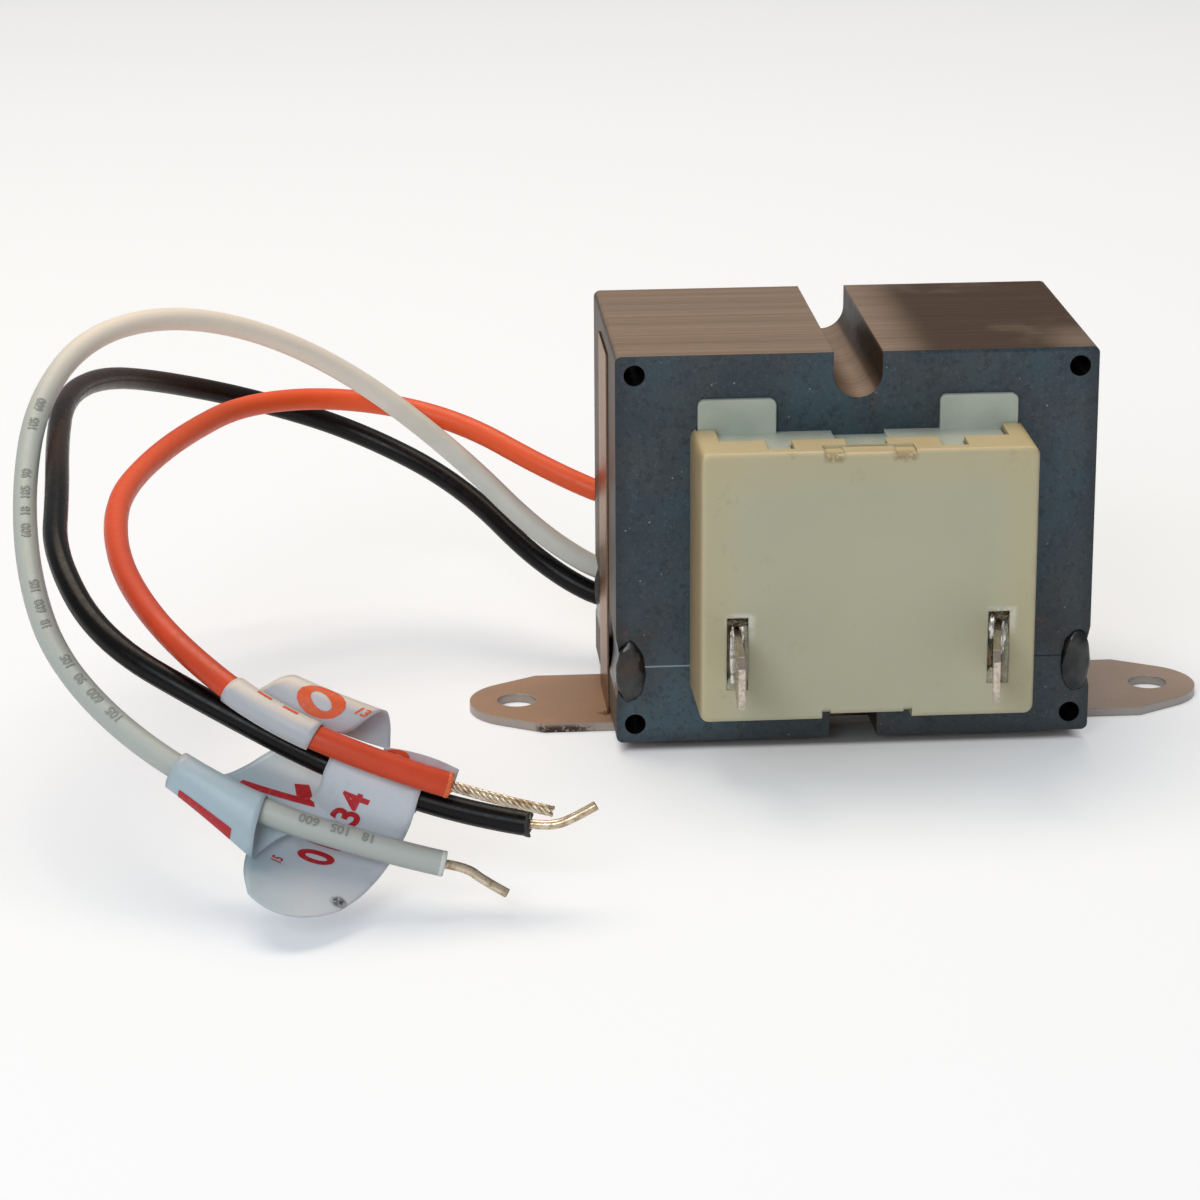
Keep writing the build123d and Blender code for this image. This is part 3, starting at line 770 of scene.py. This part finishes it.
def strap_look():
    """Bright rolled strip with lengthwise lines."""
    look = Look("strap_steel", Metallic=0.9, Specular_IOR_Level=0.3, Specular_Tint=colour("CDB4A2"))
    lines = look.noise(0.35, 4, 0.6, look.stretched(1, 1, 0.015))
    base = look.mix(look.ramp(lines, 0.35, 0.65), colour("806858"), colour("8E7565"))
    stain = look.ramp(look.noise(3.5, 5, 0.65), 0.6, 0.72)
    base = look.over(base, look.times(stain, 0.4), "634F43")
    look.set(Base_Color=base, Roughness=look.ramp(lines, 0.3, 0.7, 0.18, 0.32),
             Normal=look.bump(lines, 0.2, 0.03, look.edge(0.15)[1]))
    return look.material


def cover_look():
    """Cream moulded plastic, with painted shade warmer and darker towards the core and on the faces along X,
    painted warm light on the tops and near the top, and painted light at the sides and edges; scuffed and
    whitened at the slots.
    """
    look = Look("cover_plastic", IOR=1.5, Subsurface_Weight=0.25, Subsurface_Scale=0.0012)
    x, y, z = look.xyz()
    edge, rounded = look.edge(0.35)
    cloud = look.noise(16, 4, 0.5)
    fine = look.noise(0.8, 4, 0.6)
    base = look.mix(look.ramp(cloud, 0.3, 0.7), colour("BDBB9F"), colour("C4C0A4"))
    depth = look.math("ABSOLUTE", y)
    facing_x, _, facing_z = look.facing()
    # Painted shade: warmer and darker towards the core
    base = look.over(base, look.ramp(depth, 28.5, 20.0, 0, 0.4), "B79C6C")
    # Painted warm light: warmer on upward faces and towards the top
    base = look.over(base, look.ramp(facing_z, 0.5, 0.9, 0, 0.4), "CFB07A")
    base = look.over(base, look.ramp(z, COVER_TOP - 7, COVER_TOP, 0, 0.35), "CDB689")
    # Painted light: warmer towards the sides and lighter at the edges
    at_side = look.ramp(look.math("ABSOLUTE", x), COVER_HALF - 7, COVER_HALF - 1, 0, 0.4)
    base = look.over(base, at_side, "CBBB8E")
    base = look.over(base, look.times(edge, 0.5), "D9D2AE")
    # Painted shade: darker brown on the faces along X
    base = look.over(base, look.ramp(facing_x, 0.5, 0.9, 0, 0.65), "8F744A")
    dirt = look.times(look.ramp(look.noise(5, 6, 0.7), 0.58, 0.75), 0.35)
    base = look.over(base, dirt, "8F8A70")
    for slot_x in (-SLOT_X, SLOT_X):
        beside = look.minus(look.off(x, slot_x + 0.3), SLOT_HALF_W)
        above = look.minus(look.off(z, SLOT_MIDDLE), SLOT_HALF_H)
        near = look.ramp(look.larger(beside, above), 0.8, 0.1, 0, 0.8)
        high = look.times(look.ramp(z, SLOT_MIDDLE, SLOT_MIDDLE + SLOT_HALF_H), look.ramp(y, 0, -10))
        torn = look.times(look.ramp(look.noise(1.2, 4), 0.36, 0.6), high)
        base = look.over(base, look.times(near, torn), "E6E4D6")
    at_edge = look.times(look.ramp(z, COVER_TOP - 1.7, COVER_TOP - 1.0),
                         look.ramp(y, COVER_FRONT + 1.6, COVER_FRONT + 0.9))
    torn_off = look.ramp(look.noise(0.5, 5, 0.7), 0.38, 0.52)
    gate = 0.0
    for middle, half in GATES:
        across = look.ramp(look.off(x, middle), half + 0.4, half - 0.7)
        gate = look.plus(gate, look.times(across, at_edge))
    gate = look.times(gate, torn_off)
    base = look.over(base, look.times(gate, 0.6), "856A40")
    rough = look.plus(look.ramp(cloud, 0.3, 0.7, 0.36, 0.5), look.times(gate, 0.3))
    height = look.plus(look.plus(fine, cloud), look.times(gate, -1.5))
    look.set(Base_Color=base, Roughness=rough, Normal=look.bump(height, 0.12, 0.06, rounded))
    look.shader.inputs["Subsurface Radius"].default_value = (1.0, 0.7, 0.35)
    return look.material


def bobbin_look():
    """Natural nylon, greyish and a little clear."""
    look = Look("bobbin_plastic", Roughness=0.38, IOR=1.53, Subsurface_Weight=0.3, Subsurface_Scale=0.001)
    cloud = look.noise(5, 4)
    base = look.mix(look.ramp(cloud, 0.3, 0.7), colour("B1BAAE"), colour("BFC5B9"))
    edge, rounded = look.edge(0.3)
    base = look.over(base, look.times(edge, 0.5), "CFD4CC")
    look.set(Base_Color=base, Normal=look.bump(look.noise(0.7), 0.1, 0.04, rounded))
    return look.material


def winding_look():
    """Enamelled copper wire laid in turns."""
    look = Look("winding_wire", Metallic=0.8, Coat_Weight=0.6, Coat_Roughness=0.15)
    z = look.xyz()[2]
    turns = look.math("SINE", look.times(z, math.tau / 0.4))
    base = look.mix(look.ramp(look.noise(3), 0.3, 0.7), colour("8A4A22"), colour("A8642F"))
    look.set(Base_Color=base, Roughness=0.3, Normal=look.bump(turns, 0.8, 0.1))
    return look.material


def tape_look():
    """Glossy film tape, a little wrinkled."""
    look = Look("coil_tape", Roughness=0.25, Coat_Weight=0.5)
    wrinkle = look.noise(4, 3, 0.6, look.stretched(1, 1, 0.25))
    base = look.mix(look.ramp(wrinkle, 0.35, 0.65), colour("B99A3C"), colour("CDB155"))
    look.set(Base_Color=base, Normal=look.bump(wrinkle, 0.3, 0.1))
    return look.material


def terminal_look():
    """Tinned brass, dented and scraped, with brown flux near the root."""
    look = Look("terminal_metal", Metallic=1.0)
    y = look.xyz()[1]
    scrape = look.noise(0.5, 4, 0.6, look.stretched(1, 0.12, 1))
    dent = look.noise(1.8, 3)
    base = look.mix(look.ramp(scrape, 0.4, 0.65), colour("CBBEB2"), colour("B3A598"))
    flux = look.times(look.ramp(y, -31.5, -28.5), look.ramp(look.noise(0.9, 4), 0.45, 0.6))
    base = look.over(base, flux, "6E5636")
    height = look.plus(look.times(dent, 2.0), look.times(scrape, 0.2))
    look.set(Base_Color=base, Roughness=look.ramp(scrape, 0.3, 0.7, 0.14, 0.32),
             Normal=look.bump(height, 0.4, 0.15, look.edge(0.12)[1]))
    return look.material


def solder_look():
    """Bright solder, dull and brown where flux has dried on it."""
    look = Look("solder", Metallic=0.7)
    skin = look.noise(0.7, 4, 0.65)
    base = look.mix(look.ramp(skin, 0.5, 0.66), colour("DADAD4"), colour("9A8D72"))
    look.set(Base_Color=base, Roughness=look.ramp(skin, 0.35, 0.65, 0.18, 0.45),
             Normal=look.bump(skin, 0.35, 0.1))
    return look.material


def flux_look(name, dark, light):
    """Dried flux, glassy in places."""
    look = Look(name, IOR=1.5, Coat_Weight=0.4, Coat_Roughness=0.2)
    skin = look.noise(0.5, 5, 0.7)
    base = look.mix(look.ramp(skin, 0.4, 0.62), colour(dark), colour(light))
    look.set(Base_Color=base, Roughness=look.ramp(skin, 0.3, 0.7, 0.25, 0.7),
             Normal=look.bump(skin, 0.8, 0.15))
    return look.material


def lead_look(name, tone, dark, gloss, shine=0.5, turns=()):
    """Extruded insulation with faint lumps and scuffs. Painted light and shade turn it to other tones along
    the part's axes, each given as (axis, from mm, to mm, tone)."""
    look = Look(name, IOR=1.5, Specular_IOR_Level=shine)
    lumps = look.noise(5, 3)
    scuff = look.noise(1.0, 5, 0.7)
    base = look.mix(look.ramp(look.noise(9, 4), 0.35, 0.7, 0, 0.5), colour(tone), colour(dark))
    place = look.xyz()
    for axis, start, stop, other in turns:
        base = look.over(base, look.ramp(place[axis], start, stop), other)
    base = look.over(base, look.ramp(scuff, 0.6, 0.75, 0, 0.25), dark)
    look.set(Base_Color=base, Roughness=look.ramp(scuff, 0.3, 0.7, gloss, gloss + 0.14),
             Normal=look.bump(look.plus(lumps, look.times(scuff, 0.25)), 0.15, 0.15))
    return look.material


def wire_look():
    """Tinned copper, rubbed brown in places."""
    look = Look("bare_wire", Metallic=0.75)
    rub = look.noise(1.1, 5, 0.65)
    base = look.mix(look.ramp(rub, 0.42, 0.68), colour("D8C8B0"), colour("A08768"))
    look.set(Base_Color=base, Roughness=look.ramp(rub, 0.3, 0.7, 0.22, 0.38),
             Normal=look.bump(rub, 0.12, 0.05))
    return look.material


def paper_look(smudge_at):
    """Coated white label stock with a little grime, a smudge round one place, and painted light and shade:
    bluer towards the left, greyer high up, warmer on upward faces near the top.
    """
    look = Look("tag_paper", Roughness=0.4, Subsurface_Weight=0.15, Subsurface_Scale=0.0005)
    grime = look.noise(4, 5, 0.65)
    x, _, z = look.xyz()
    # Painted light and shade: bluer and darker towards the left, greyer above z 19, and warmer and lighter on
    # upward faces near the top
    base = look.mix(look.ramp(x, -64, -72), colour("CBD2DA"), colour("B0C3CD"))
    base = look.over(base, look.ramp(z, 15, 19), "BABDC4")
    upper = look.times(look.ramp(look.facing()[2], 0.45, 0.8), look.ramp(z, 16, 19))
    base = look.over(base, upper, "DCD0C8")
    base = look.over(base, look.ramp(grime, 0.5, 0.75, 0, 0.3), "A9AFB4")
    from_smudge = look.add("ShaderNodeVectorMath", operation="DISTANCE")
    look.feed(from_smudge.inputs[0], look.here)
    from_smudge.inputs[1].default_value = smudge_at * MM
    near = look.ramp(from_smudge.outputs["Value"], 1.2 * MM, 0.4 * MM)
    rubbed = look.ramp(look.noise(0.5, 4, 0.7), 0.32, 0.52)
    base = look.over(base, look.times(near, rubbed), "3E4244")
    look.set(Base_Color=base, Normal=look.bump(look.noise(2.5, 3), 0.15, 0.1))
    return look.material


def ink_look(name, tone, thin_tone):
    """Printed figures, thin in places."""
    look = Look(name, Roughness=0.5)
    thin = look.ramp(look.noise(0.5, 4, 0.7), 0.55, 0.75, 0, 0.4)
    look.set(Base_Color=look.mix(thin, colour(tone), colour(thin_tone)))
    return look.material


def paint(obj, material):
    obj.data.materials.clear()
    obj.data.materials.append(material)


Y_AXIS, Z_AXIS = 1, 2
finishes = {
    "plate_steel": plate_look(), "strap_steel": strap_look(), "core_steel": core_look(),
    "weld_steel": weld_look(), "bobbin_plastic": bobbin_look(), "winding_wire": winding_look(),
    "coil_tape": tape_look(), "cover_plastic": cover_look(), "terminal_metal": terminal_look(),
    # Painted light and shade on the leads: the white one warmer high up and greyer near the camera, the black
    # one brown high up and blacker near the camera, the orange one brighter further back
    "lead_white": lead_look("lead_white", "D4D6CE", "B4B3A6", 0.42, 0.5,
                            [(Z_AXIS, 20, 44, "FFF1E0"), (Y_AXIS, 12, -14, "B8BEB9")]),
    "lead_black": lead_look("lead_black", "090708", "15100F", 0.24, 0.2,
                            [(Z_AXIS, 30, 38, "36241B"), (Y_AXIS, -10, -28, "080607")]),
    "lead_orange": lead_look("lead_orange", "D8441A", "B43A15", 0.38, 0.5,
                             [(Y_AXIS, -50, -5, "F55A24")]),
    "bare_wire": wire_look(),
    "tag_paper": paper_look(black_paper.point(black_paper.share(SMUDGE_S), SMUDGE_T)),
}
SLOT_NODES = {
    "plate_steel": ["mounting_plate"], "strap_steel": ["core_strap"],
    "core_steel": ["core_e_stack", "core_i_stack"], "weld_steel": ["weld_bead_left", "weld_bead_right"],
    "bobbin_plastic": ["bobbin"], "winding_wire": ["primary_winding", "secondary_winding"],
    "coil_tape": ["primary_tape", "secondary_tape"], "cover_plastic": ["front_cover", "rear_cover"],
    "terminal_metal": ["terminal_left", "terminal_right"],
    "lead_white": ["lead_white"], "lead_black": ["lead_black"], "lead_orange": ["lead_orange"],
    "bare_wire": ["lead_white_end", "lead_black_end", "lead_orange_end"],
    "tag_paper": ["tag_white", "tag_black", "tag_orange"],
}
for slot_name, slot_nodes in SLOT_NODES.items():
    for node in slot_nodes:
        paint(nodes[node], finishes[slot_name])


def attach(obj, slot_name, material=None, stands_for=None):
    """A piece of the object, under the root: its material, or its slot's finish when none is given, and the
    CAD node it stands for, which is hidden.
    """
    paint(obj, material or finishes[slot_name])
    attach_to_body(obj, "root")
    if stands_for:
        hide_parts(stands_for)


# Print on the tags and on the white lead: plain figures
red_ink = ink_look("red_ink", "B81824", "C9A29E")
orange_ink = ink_look("orange_ink", "E0571F", "D8A68C")
grey_ink = ink_look("grey_ink", "8E928E", "B9BBB4")
orange_print = [orange_paper.figures("orange_figure", "0", -8.6, 0.53, 7.8, -1, -28),
                orange_paper.figures("orange_small_figure", "13", -7.8, 0.9, 1.6, -1, -90),
                orange_paper.figures("orange_sleeve_figure", "1", 6.8, 0.36, 2.4, -1),
                orange_paper.figures("orange_sleeve_figure_near", "1", 6.8, 0.67, 2.4, -1),
                orange_tail.figures("orange_tail_figure", "0", -1.0, 0.2, 4.0, -1)]
white_print = [white_paper.figures("white_figure", "1", 6.9, 0.45, 8.5, 1),
               white_paper.figures("white_flag_figure", "7", -8.4, 0.4, 7.4, -1, 220)]
LEAD_FIGURE = 1.5
LEAD_PRINT = (("", "18   105   600", 12.0, -50), ("_mid", "105   600   90   105", 45.0, -60),
              ("_up", "18   600   105", 60.0, -68), ("_far", "600   18   105   90", 77.0, -75),
              ("_top", "105   600", 92.0, -80))
white_lead_print = [lead_figures("white_lead_figures" + part, white_line, text, from_end, LEAD_FIGURE, turn)
                    for part, text, from_end, turn in LEAD_PRINT]
black_print = [black_paper.figures("black_figure_row", "01234", -15.4, 0.43, 4.0, 1, 180),
               black_paper.figures("black_small_figure", "15", -8.9, 0.2, 1.1, 1, 180)]

cut_white = lead_look("cut_white", "E4E8E6", "C8CBC6", 0.55)
cut_black = lead_look("cut_black", "241F1C", "3A332E", 0.5)
cut_orange = lead_look("cut_orange", "E8713F", "C9552A", 0.55)

for colour_name, lead, bare_end, tag, cut, cut_finish in (
        ("white", white_lead, white_end, white_tag, white_cut, cut_white),
        ("black", black_lead, black_end, black_tag, black_cut, cut_black),
        ("orange", orange_lead, orange_end, orange_tag, orange_cut, cut_orange)):
    attach(lead, "lead_" + colour_name, stands_for="lead_" + colour_name)
    attach(cut, "lead_" + colour_name, cut_finish)
    attach(bare_end, "bare_wire", stands_for="lead_" + colour_name + "_end")
    attach(tag, "tag_paper", stands_for="tag_" + colour_name)
attach(orange_flap, "tag_paper")
for pieces, slot_name, finish in (
        (white_print + black_print, "tag_paper", red_ink),
        (orange_print, "tag_paper", orange_ink),
        (white_lead_print, "lead_white", grey_ink),
        (solder, "terminal_metal", solder_look()),
        (burnt_flux, "terminal_metal", flux_look("burnt_flux", "2E2418", "7A6238")),
        (pale_flux, "terminal_metal", flux_look("pale_flux", "8F8B74", "B4B096")),
        (weld_ends, "weld_steel", None)):
    for obj in pieces:
        attach(obj, slot_name, finish)

# Stage, in metres: a pale floor, a warm soft light above and a cool one beside the camera. The floor's glow
# whitens it in the picture without lighting the object, and stops under the core to paint a shadow there.
FLOOR_HALF = 20.0
FLOOR_TONE = (0.72, 0.75, 0.80, 1.0)
FLOOR_GLOW = 0.3
WORLD_TONE, WORLD_LEVEL = (0.92, 0.96, 1.0, 1.0), 0.35
LIT_PLACE = (-0.02, 0, 0.02)


def seen(look):
    """1 for what the camera sees, straight, mirrored or through glass, and 0 for what lights the object."""
    path = look.add("ShaderNodeLightPath").outputs
    straight_or_mirrored = look.larger(path["Is Camera Ray"], path["Is Glossy Ray"])
    return look.larger(straight_or_mirrored, path["Is Transmission Ray"])


def floor():
    look = Look("floor", Roughness=0.9, Base_Color=FLOOR_TONE, Specular_IOR_Level=0.1,
                Emission_Color=(1.0, 1.0, 1.0, 1.0))
    x, y, _ = look.xyz()
    # Painted shadow: the glow fades out under the core's footprint, over 2 mm
    outside = look.larger(look.minus(look.math("ABSOLUTE", x), CORE_HALF),
                          look.minus(look.math("ABSOLUTE", y), CORE_DEPTH))
    look.set(Emission_Strength=look.times(seen(look), look.ramp(outside, -2, 0, 0, FLOOR_GLOW)))
    corners = [(-1, -1, 0), (1, -1, 0), (1, 1, 0), (-1, 1, 0)]
    obj = mesh_object("floor", [Vector(c) * FLOOR_HALF / MM for c in corners], [(0, 1, 2, 3)], False)
    paint(obj, look.material)


def area_light(name, at, target, size, power, tint):
    data = bpy.data.lights.new(name, "AREA")
    data.shape = "RECTANGLE"
    data.size, data.size_y = size
    data.energy = power
    data.color = tint
    obj = add_object(name, data)
    obj.location = at
    obj.rotation_euler = (Vector(target) - Vector(at)).to_track_quat("-Z", "Y").to_euler()


def surroundings():
    world = bpy.data.worlds.new("surroundings")
    bpy.context.scene.world = world
    world.use_nodes = True
    back = world.node_tree.nodes["Background"]
    back.inputs["Color"].default_value = WORLD_TONE
    back.inputs["Strength"].default_value = WORLD_LEVEL


floor()
surroundings()
area_light("top_light", at=(-0.15, 0.25, 0.85), target=LIT_PLACE, size=(0.7, 0.5), power=4.6,
           tint=(1.0, 0.86, 0.68))
area_light("front_light", at=(-0.35, -0.75, 0.45), target=LIT_PLACE, size=(0.4, 0.4), power=2.6,
           tint=(0.90, 0.96, 1.0))
bpy.context.scene.view_settings.view_transform = "Standard"
